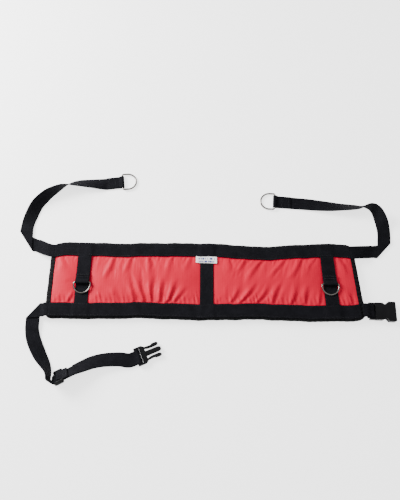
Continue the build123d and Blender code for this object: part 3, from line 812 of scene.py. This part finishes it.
def strap_place(fold_place, fold_end, centres, crosses):
    """Joins the fold's map to the run that follows it."""
    distances = travelled(centres)

    def place(along, across):
        if along <= fold_end:
            return fold_place(along, across)
        at = along - fold_end
        cross = along_line(crosses, distances, at)
        edge_wave = 0.2 * math.sin(along / 6.0) * abs(across) / WEB
        return along_line(centres, distances, at) + cross.normalized() * (across + edge_wave)

    return place, distances[-1]


def upper_strap(name, start, start_heading, fold, headings, reach, ring_heading, route):
    """One upper strap, with its root; returns the place of its ring's bar."""
    place_fold, distance = folded(start, start_heading, fold, headings, 0.15, WEB_T + 0.25)
    columns = fold_columns(distance, headings, distance + reach)
    fold_end = columns[-1][0]
    first = place_fold(fold_end, 0)
    knots = [(first.x, first.y, 0, first.z - WEB_T / 2)] + route
    centres, crosses = free_run(knots, -1, ring_heading)
    bar = Vector((*route[-1][:2], END_WIRE + GAP + WEB_T)) + turn(ring_heading) * END_TAIL
    for past, height in loop_line(END_WIRE, END_TAIL, END_TAIL)[1:]:
        centres.append(bar + turn(ring_heading) * past + Vector((0, 0, height)))
        crosses.append(crosses[-1])
    place, run = strap_place(place_fold, fold_end, centres, crosses)
    end = fold_end + run
    turn_from, turn_to = end - END_TAIL - 10, end - 20
    columns += [(s, 0.0) for s in steps(fold_end, turn_from, 2.5)[1:]]
    columns += [(s, 0.0) for s in steps(turn_from, turn_to, 0.9)[1:]]
    columns += [(s, 0.0) for s in steps(turn_to, end, 2.5)[1:]]
    blend = ("pad", name, (first.x * MM, (first.y - 5) * MM, 0.003),
             (first.x * MM, (first.y + 9) * MM, 0.003))
    webbing(f"{name}_webbing", columns, place, blend, [f"{name[:-5]}root", name], end)
    return bar


# The routes are x, y, bank and lift, from just past the fold to where the end loop starts.
LEFT_RING_HEADING = 7.0
RIGHT_RING_HEADING = 176.0
left_bar = upper_strap("upper_left_strap", on_pad(BORDER_LEFT, BORDER_Y, 0), 180.0, (-348.0, 79.5),
                       (157.0, 94.0), 22.0, LEFT_RING_HEADING, [
    (-350.0, 113.0, 0, 0.3),
    (-346.5, 127.0, 12, 0),
    (-335.0, 153.0, 38, 0),
    (-319.0, 171.5, 59, 0),
    (-304.0, 183.0, 79, 0),
    (-290.0, 192.0, 98, 0),
    (-278.0, 197.5, 118, 0),
    (-268.0, 200.2, 133, 0),
    (-252.0, 202.0, 146, 0),
    (-230.0, 202.3, 158, 0),
    (-214.0, 202.5, 170, 0),
    (-202.0, 203.6, 180, 0),
])
right_bar = upper_strap("upper_right_strap", on_pad(BORDER_RIGHT, BORDER_Y, 0), 0.0, (339.0, 65.5),
                        (8.0, 84.0), 19.0, RIGHT_RING_HEADING, [
    (344.2, 98.0, 0, 0.3),
    (343.6, 112.0, -8, 0),
    (339.0, 128.0, -36, 0),
    (332.5, 143.0, -60, 0),
    (323.0, 152.3, -82, 0),
    (311.0, 154.6, -103, 0),
    (298.0, 152.9, -128, 0),
    (283.0, 152.8, -138, 0),
    (265.0, 153.5, -146, 0),
    (243.0, 155.6, -159, 0),
    (224.0, 158.0, -168, 0),
    (205.0, 160.6, -175, 0),
    (166.5, 164.2, -180, 0),
])


# Lower left strap: the buckle's adjustable strap, one webbing. It folds down at the corner, stands up on
# edge, passes through the tri-glide, turns round the male buckle's bar and comes back on top.
BUCKLE_BAR = (-119.5, -139.5)
BUCKLE_BAR_R = 1.9
BUCKLE_HEADING = 23.0
GLIDE_START = (-263.2, -181.4)
GLIDE_HEADING = 27.0
GLIDE_BANK = -42.0
GLIDE_LIFT = 3.7
STRAIGHT = 35.0                    # the strap runs straight here, so that the tri-glide can slide
LOOP_TAIL = 14.0
BLEND_Z = 0.0055

straight_end = Vector((*GLIDE_START, 0)) + turn(GLIDE_HEADING) * STRAIGHT
straight_middle = Vector((*GLIDE_START, 0)) + turn(GLIDE_HEADING) * STRAIGHT / 2
double_start = Vector((*BUCKLE_BAR, 0)) - turn(BUCKLE_HEADING) * LOOP_TAIL
double_run = [
    (straight_end.x, straight_end.y, GLIDE_BANK, GLIDE_LIFT),
    (-219.0, -159.0, -34, 1.5),
    (-200.5, -150.8, -23, 0.8),
    (-178.0, -146.0, -17, 0),
    (-155.0, -144.6, -8, 0),
    (double_start.x, double_start.y, 0, 0),
]
lower_run = [
    (-315.2, -95.0, 0, 2.0),
    (-308.0, -115.0, -17, 0),
    (-296.0, -136.0, -35, 0),
    (-284.0, -153.0, -55, 0),
    (-276.7, -165.0, -74, 0.5),
    (-273.7, -174.5, -84, 1.5),
    (-273.4, -179.0, -86, 2.0),
    (-271.8, -182.6, -87, 2.0),
    (-268.6, -184.2, -86, 2.0),
    (*GLIDE_START, GLIDE_BANK, GLIDE_LIFT),
    (straight_middle.x, straight_middle.y, GLIDE_BANK, GLIDE_LIFT),
] + double_run
lower_headings = (185.0, 276.0)
place_fold, distance = folded(on_pad(BORDER_LEFT, -BORDER_Y, 0), 180.0, (-316.5, -59.5), lower_headings,
                              5.7, 4.0)
columns = fold_columns(distance, lower_headings, distance + 14.0)
fold_end = columns[-1][0]
first = place_fold(fold_end, 0)
centres, crosses = free_run([(first.x, first.y, 0, first.z - WEB_T / 2)] + lower_run, -1, BUCKLE_HEADING)
bar = Vector((*BUCKLE_BAR, BUCKLE_BAR_R + GAP + WEB_T + 0.15))
for past, height in loop_line(BUCKLE_BAR_R + 0.25, LOOP_TAIL, LOOP_TAIL)[1:]:
    centres.append(bar + turn(BUCKLE_HEADING) * past + Vector((0, 0, height)))
    crosses.append(crosses[-1])
return_centres, return_crosses = free_run(double_run, -1, BUCKLE_HEADING)
following = return_centres[1:] + [double_start]
for centre, cross, ahead in reversed(list(zip(return_centres, return_crosses, following))):
    step = Vector(ahead) - centre
    along = step.normalized() if step.length > 0 else turn(BUCKLE_HEADING)
    if (centres[-1] - centre).length > 1.0 and (centre - double_start).length > 3.0:
        centres.append(centre + along.cross(-cross).normalized() * (WEB_T + 0.1))
        crosses.append(cross)
place, run = strap_place(place_fold, fold_end, centres, crosses)
columns += [(s, 0.0) for s in steps(fold_end, fold_end + run, 1.6)[1:]]
webbing("lower_left_strap_webbing", columns, place,
        ("pad", "lower_left_strap", (first.x * MM, (first.y + 4) * MM, BLEND_Z),
         (first.x * MM, (first.y - 8) * MM, BLEND_Z)),
        ["lower_left_root", "lower_left_strap", "lower_left_return"], fold_end + run)


# Strap end: the webbing's end goes over the tri-glide's centre bar and back under itself, and is stitched
# down in two rows.
GLIDE_AT = 9.0
glide_lean = math.radians(GLIDE_BANK)
glide_along = turn(GLIDE_HEADING)
glide_across = turn(GLIDE_HEADING + 90) * math.cos(glide_lean) + Vector((0, 0, math.sin(glide_lean)))
glide_out = glide_along.cross(glide_across)
glide_centre = Vector((*GLIDE_START, resting_height(GLIDE_BANK) + GLIDE_LIFT)) + glide_along * GLIDE_AT
over_bar = [
    (17.0, 1.85), (10.0, 1.85), (3.0, 1.85), (-1.0, 1.9), (-2.0, 2.3), (-2.5, 3.2), (-2.5, 4.4), (-2.1, 5.4),
    (-1.3, 5.9), (0.0, 6.0), (1.3, 5.9), (3.0, 5.3), (5.0, 4.2), (7.0, 3.5), (9.0, 3.35), (13.0, 3.35),
    (17.0, 3.35),
]
over_distances = travelled(over_bar)


def at_glide(along, across, out):
    return glide_centre + glide_along * along + glide_across * across + glide_out * out


def on_glide(along, across):
    past, out = along_line(over_bar, over_distances, along)
    return at_glide(past, across, out)


webbing("strap_end_webbing", steps(0, over_distances[-1], 0.9), on_glide, "tri_glide", ["strap_end"],
        over_distances[-1])


# Buckle tab: the right end of the bottom webbing. It leaves the pad, goes round the female buckle's bar and
# is sewn back under itself.
FEMALE_BAR = (303.6, -54.8)
FEMALE_BAR_Z = 5.5
FEMALE_HEADING = -1.5
tab_radius = BUCKLE_BAR_R + 0.75 + WEB_T / 2
tab_start = on_pad(BORDER_RIGHT, -BORDER_Y, PAD_T + WEB_T / 2 + 0.15)
tab_bar = Vector((*FEMALE_BAR, FEMALE_BAR_Z))
TAB_DROP = 16.0                    # the tab comes down to the bar over this length
tab_rise = tab_start.z - FEMALE_BAR_Z
tab_line = [(-(tab_bar - tab_start).length + 0.2, tab_rise)]
for t in steps(0, 1, 0.1):
    above = (tab_rise - tab_radius) * (1 - smooth_step(t, 0, 1))
    tab_line.append((-TAB_DROP + TAB_DROP * t, tab_radius + above))
for angle in steps(10, 180, 10):
    tab_line.append((tab_radius * math.sin(math.radians(angle)), tab_radius * math.cos(math.radians(angle))))
tab_line += [(-x, -tab_radius) for x in steps(1, 13, 2)]
tab_distances = travelled(tab_line)


def on_tab(along, across):
    past, height = along_line(tab_line, tab_distances, along)
    nearer_pad = smooth_step(-past, 2, 24)
    along_tab = tab_bar + turn(FEMALE_HEADING) * past + turn(FEMALE_HEADING + 90) * across
    along_pad = on_pad(FEMALE_BAR[0] + past, -BORDER_Y + across, 0)
    point = along_tab.lerp(along_pad, nearer_pad)
    return Vector((point.x, point.y, FEMALE_BAR_Z + height))


tab_turns_at = tab_distances[11]   # the end of the drop, over the bar
tab_columns = sorted(set(steps(0, tab_turns_at, 2.0) + steps(tab_turns_at, tab_distances[-1], 0.8)))
webbing("buckle_tab_webbing", tab_columns, on_tab, "pad", ["female_buckle_tab"],
        tab_distances[-1])


# Care label: a short folded tape of white satin with plain rows of dashes for its small print. Its upper
# edge is caught under the top border webbing, in front of the centre strap.
LABEL_WIDE = 39.5
LABEL_DEEP = 13.0
PRINT_FROM, PRINT_TO = 0.004, 0.0355
DASH_ROW = 0.0056
SATIN_PITCH = 0.00503              # the satin's lines, drawn much coarser than real ones
PRINT_SCALE = 480.0
PRINT_ABOVE = 0.47                 # the noise prints where it is above this
LABEL_WHITE = "#FCFCFB"
PRINT_BLUE = "#2E3680"
label_satin, tree, shader = new_material(
    "white_satin_label_tape", Roughness=0.5, IOR=1.5, Specular_IOR_Level=0.3, Sheen_Weight=0.1)
cloth_map = add_node(tree, "ShaderNodeTexCoord")
split = add_node(tree, "ShaderNodeSeparateXYZ", {"Vector": cloth_map.outputs["UV"]})
row_wave = add_node(tree, "ShaderNodeMath", {0: split.outputs["Y"], 1: DASH_ROW / 2}, operation="PINGPONG")
in_row = add_node(tree, "ShaderNodeMath", {0: row_wave.outputs["Value"], 1: DASH_ROW * 0.2},
                  operation="GREATER_THAN")
row_number = add_node(tree, "ShaderNodeMath", {0: split.outputs["Y"], 1: DASH_ROW}, operation="SNAP")
dash_place = add_node(tree, "ShaderNodeCombineXYZ",
                      {"X": split.outputs["X"], "Y": row_number.outputs["Value"]})
dash_noise = add_node(tree, "ShaderNodeTexNoise",
                      {"Vector": dash_place.outputs["Vector"], "Scale": PRINT_SCALE, "Detail": 1.0})
in_dash = add_node(tree, "ShaderNodeMath", {0: dash_noise.outputs["Fac"], 1: PRINT_ABOVE},
                   operation="GREATER_THAN")
clear_left = add_node(tree, "ShaderNodeMath", {0: split.outputs["X"], 1: PRINT_FROM},
                      operation="GREATER_THAN")
clear_right = add_node(tree, "ShaderNodeMath", {0: split.outputs["X"], 1: PRINT_TO},
                       operation="LESS_THAN")
printed = in_row
for mask in (in_dash, clear_left, clear_right):
    printed = add_node(tree, "ShaderNodeMath", {0: printed.outputs["Value"], 1: mask.outputs["Value"]},
                       operation="MULTIPLY")
label_tone = add_node(
    tree, "ShaderNodeMix",
    {"Factor": printed.outputs["Value"], MIX_A: linear(LABEL_WHITE), MIX_B: linear(PRINT_BLUE)},
    data_type="RGBA")
tree.links.new(label_tone.outputs[MIXED], shader.inputs["Base Color"])
satin = add_node(tree, "ShaderNodeTexWave",
                 {"Vector": cloth_map.outputs["UV"], "Scale": bands(SATIN_PITCH), "Distortion": 0.5},
                 bands_direction="Y")
satin_bump = add_node(tree, "ShaderNodeBump",
                      {"Strength": 0.15, "Distance": 0.0002, "Height": satin.outputs["Fac"]})
tree.links.new(satin_bump.outputs["Normal"], shader.inputs["Normal"])


def on_label(along, across):
    """Along from the label's left edge, across up from its lower edge."""
    x = along - LABEL_WIDE / 2 - 0.6
    y = BORDER_Y - WEB / 2 - LABEL_DEEP + across + 0.8 - 0.03 * along
    curl = 1.3 * smooth_step(abs(x), 12, 20) * smooth_step(LABEL_DEEP - across, 2, 13)
    height = PAD_T + WEB_T + 0.55 + 0.25 * math.sin(along / 5.0) * smooth_step(LABEL_DEEP - across, 1, 8)
    return on_pad(x, y, height + 0.3 * smooth_step(LABEL_DEEP - across, 8, 13) + 0.4 * curl)


label_mesh = grid_piece("care_label_tape", steps(0, LABEL_WIDE, 1.6), steps(0, LABEL_DEEP, 1.3), on_label)
label = link_object("care_label_tape", label_mesh, label_satin)
finish_with(label, thickness=0.35, bevel=0.1)
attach(label, "pad")
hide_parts("care_label")


# Stitching: black bonded nylon thread, lockstitched 4 mm long in rows, and close zigzag bar tacks where the
# rings pull. Each stitch is a small raised bead of thread that dips in at both ends.
STITCH = 4.0
THREAD_HALF = 0.28
SEAM_ROWS = (-WEB / 2 + 2.2, WEB / 2 - 2.2)
LOOP_TACKS_AT = (9.0, 13.5)
END_TACKS_AT = (14.0, 27.0)
THREAD_DARK = "#121214"
THREAD_LIGHT = "#34343A"
thread_nylon, tree, shader = new_material(
    "black_bonded_nylon_thread", Roughness=0.5, IOR=1.5, Specular_IOR_Level=0.2)
thread_map = add_node(tree, "ShaderNodeTexCoord")
thread_twist = add_node(tree, "ShaderNodeTexNoise", {"Vector": thread_map.outputs["Object"], "Scale": 900.0})
thread_tone = add_node(
    tree, "ShaderNodeMix",
    {"Factor": thread_twist.outputs["Fac"], MIX_A: linear(THREAD_DARK), MIX_B: linear(THREAD_LIGHT)},
    data_type="RGBA")
tree.links.new(thread_tone.outputs[MIXED], shader.inputs["Base Color"])


def bead(bm, middle, direction, out, length):
    """One stitch: a bead lying along a direction on a surface."""
    along = direction.normalized()
    side = out.cross(along).normalized()
    rise = along.cross(side)
    turned = Matrix((along, side, rise)).transposed().to_4x4()
    size = Matrix.Diagonal((length / 2 * MM, THREAD_HALF * MM, THREAD_HALF * 0.8 * MM, 1))
    bmesh.ops.create_icosphere(bm, subdivisions=1, radius=1.0,
                               matrix=Matrix.Translation(middle * MM) @ turned @ size)


def stitched(name, body, beads, *nodes):
    bm = bmesh.new()
    for middle, direction, out, length in beads:
        bead(bm, middle, direction, out, length)
    for face in bm.faces:
        face.smooth = True
    mesh = bpy.data.meshes.new(name)
    bm.to_mesh(mesh)
    bm.free()
    piece = link_object(name, mesh, thread_nylon)
    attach(piece, body)
    if nodes:
        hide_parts(*nodes)


def row_of_beads(place, first, last, across, up):
    """Stitches on a webbing's map, along it at one distance across."""
    found = []
    for along in steps(first, last, STITCH)[:-1]:
        a, b = place(along, across), place(along + STITCH * 0.8, across)
        middle = (a + b) / 2 + up * (WEB_T / 2 - 0.02)
        found.append((middle, b - a, up, (b - a).length))
    return found


UP = Vector((0, 0, 1))
border_beads = []
for sign in (1, -1):
    for across in SEAM_ROWS:
        border_beads += row_of_beads(on_border(sign), BORDER_LEFT + 1, BORDER_RIGHT - 1, across, UP)
stitched("border_stitching", "pad", border_beads)


def cross_rows(place, alongs, up, pitch=1.5, half_width=WEB / 2 - 2.0):
    """Bar tacks: close stitches lying along the strap, set in rows across it."""
    found = []
    for along in alongs:
        for across in steps(-half_width, half_width, pitch):
            a, b = place(along, across), place(along + 1.6, across + 0.5)
            found.append(((a + b) / 2 + up * (WEB_T / 2 - 0.02), b - a, up, 2.2))
    return found


lowest_stitch = -BORDER_Y + WEB / 2 + 1
for name, centre in (("left", STRAP_XS[0]), ("right", STRAP_XS[2])):
    def on_loop_top(along, across):
        return on_pad(centre + across, RING_BAR_Y + along, PAD_T + WEB_T * 3.5 + 0.15)

    stitched(f"{name}_loop_stitching", "pad", cross_rows(on_loop_top, LOOP_TACKS_AT, UP),
             f"{name}_bar_tacks")
    vertical_beads = []
    for across in SEAM_ROWS:
        vertical_beads += row_of_beads(on_vertical(centre), lowest_stitch, RING_BAR_Y - 26, across, UP)
    stitched(f"{name}_vertical_stitching", "pad", vertical_beads)
centre_beads = []
highest_stitch = BORDER_Y - WEB / 2 - 14
for across in SEAM_ROWS:
    centre_beads += row_of_beads(on_vertical(STRAP_XS[1]), lowest_stitch, highest_stitch, across, UP)
stitched("centre_vertical_stitching", "pad", centre_beads)

for side, bar, heading in (("left", left_bar, LEFT_RING_HEADING), ("right", right_bar, RIGHT_RING_HEADING)):
    def on_end_loop(along, across):
        back = turn(heading + 90) * across - turn(heading) * along
        return Vector((bar.x + back.x, bar.y + back.y, WEB_T * 1.5 + 0.08))

    stitched(f"upper_{side}_end_stitching", f"upper_{side}_strap", cross_rows(on_end_loop, END_TACKS_AT, UP),
             f"upper_{side}_bar_tacks")

strap_end_beads = []
stitch_way = glide_along + glide_across * 0.3
for along in (8.6, 14.6):
    for across in steps(-WEB / 2 + 2.5, WEB / 2 - 2.5, 1.6):
        strap_end_beads.append((at_glide(along, across, 4.1), stitch_way, glide_out, 2.0))
stitched("strap_end_stitching", "tri_glide", strap_end_beads)


# Rings: welded D-rings of round nickel-plated steel wire, tumbled bright with faint handling marks. Two hang
# on the pad, and one ends each upper strap. They are the frame's own shapes.
NICKEL_EDGE = "#6E6C69"
NICKEL_DARK = "#55524F"
NICKEL_LIGHT = "#98948F"
ring_steel, tree, shader = new_material(
    "nickel_plated_steel", Metallic=1.0, Specular_Tint=linear(NICKEL_EDGE))
handling = add_node(tree, "ShaderNodeTexCoord")
marks = add_node(tree, "ShaderNodeTexNoise",
                 {"Vector": handling.outputs["Object"], "Scale": 350.0, "Detail": 4.0})
mark_range = add_node(tree, "ShaderNodeMapRange",
                      {"Value": marks.outputs["Fac"], "To Min": 0.12, "To Max": 0.32})
ring_tone = add_node(
    tree, "ShaderNodeMix",
    {"Factor": marks.outputs["Fac"], MIX_A: linear(NICKEL_DARK), MIX_B: linear(NICKEL_LIGHT)},
    data_type="RGBA")
tree.links.new(ring_tone.outputs[MIXED], shader.inputs["Base Color"])
tree.links.new(mark_range.outputs["Result"], shader.inputs["Roughness"])
for name in ("left_front_ring", "right_front_ring", "upper_left_end_ring", "upper_right_end_ring"):
    for material_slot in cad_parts[name].material_slots:
        material_slot.material = ring_steel


# Buckle and tri-glide: injection-moulded black acetal. The frame's own shapes with their sharp edges
# softened as a mould leaves them, and a fine satin texture on the faces.
ACETAL_DARK = "#060607"
ACETAL_LIGHT = "#151518"
acetal, tree, shader = new_material("black_moulded_acetal", Roughness=0.38, IOR=1.3, Specular_IOR_Level=0.3)
mould_map = add_node(tree, "ShaderNodeTexCoord")
mould_grain = add_node(tree, "ShaderNodeTexNoise",
                       {"Vector": mould_map.outputs["Object"], "Scale": 1400.0, "Detail": 2.0})
scuffs = add_node(tree, "ShaderNodeTexNoise",
                  {"Vector": mould_map.outputs["Object"], "Scale": 120.0, "Detail": 5.0, "Roughness": 0.7})
mould_tone = add_node(
    tree, "ShaderNodeMix",
    {"Factor": scuffs.outputs["Fac"], MIX_A: linear(ACETAL_DARK), MIX_B: linear(ACETAL_LIGHT)},
    data_type="RGBA")
tree.links.new(mould_tone.outputs[MIXED], shader.inputs["Base Color"])
mould_shine = add_node(tree, "ShaderNodeMapRange",
                       {"Value": scuffs.outputs["Fac"], "To Min": 0.34, "To Max": 0.55})
tree.links.new(mould_shine.outputs["Result"], shader.inputs["Roughness"])
mould_bump = add_node(tree, "ShaderNodeBump",
                      {"Strength": 0.15, "Distance": 0.0002, "Height": mould_grain.outputs["Fac"]})
tree.links.new(mould_bump.outputs["Normal"], shader.inputs["Normal"])


def softened(node, edge):
    """A merged copy of a body's own CAD node with its flat faces joined up and its edges rounded."""
    bm = bmesh.new()
    bm.from_mesh(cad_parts[node].data)
    bmesh.ops.remove_doubles(bm, verts=bm.verts, dist=1e-6)
    bmesh.ops.dissolve_limit(bm, angle_limit=math.radians(2), verts=bm.verts, edges=bm.edges)
    bmesh.ops.recalc_face_normals(bm, faces=bm.faces)
    for face in bm.faces:
        face.smooth = True
    mesh = bpy.data.meshes.new(f"{node}_moulding")
    bm.to_mesh(mesh)
    bm.free()
    piece = link_object(f"{node}_moulding", mesh, acetal)
    rounding = piece.modifiers.new("edge", "BEVEL")
    rounding.width = edge * MM
    rounding.segments = 3
    rounding.limit_method = "ANGLE"
    rounding.angle_limit = math.radians(35)
    rounding.harden_normals = True
    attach(piece, node)
    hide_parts(node)


softened("tri_glide", 0.35)
softened("male_buckle", 0.5)
softened("male_arm_left", 0.4)
softened("male_arm_right", 0.4)
softened("female_buckle", 0.6)
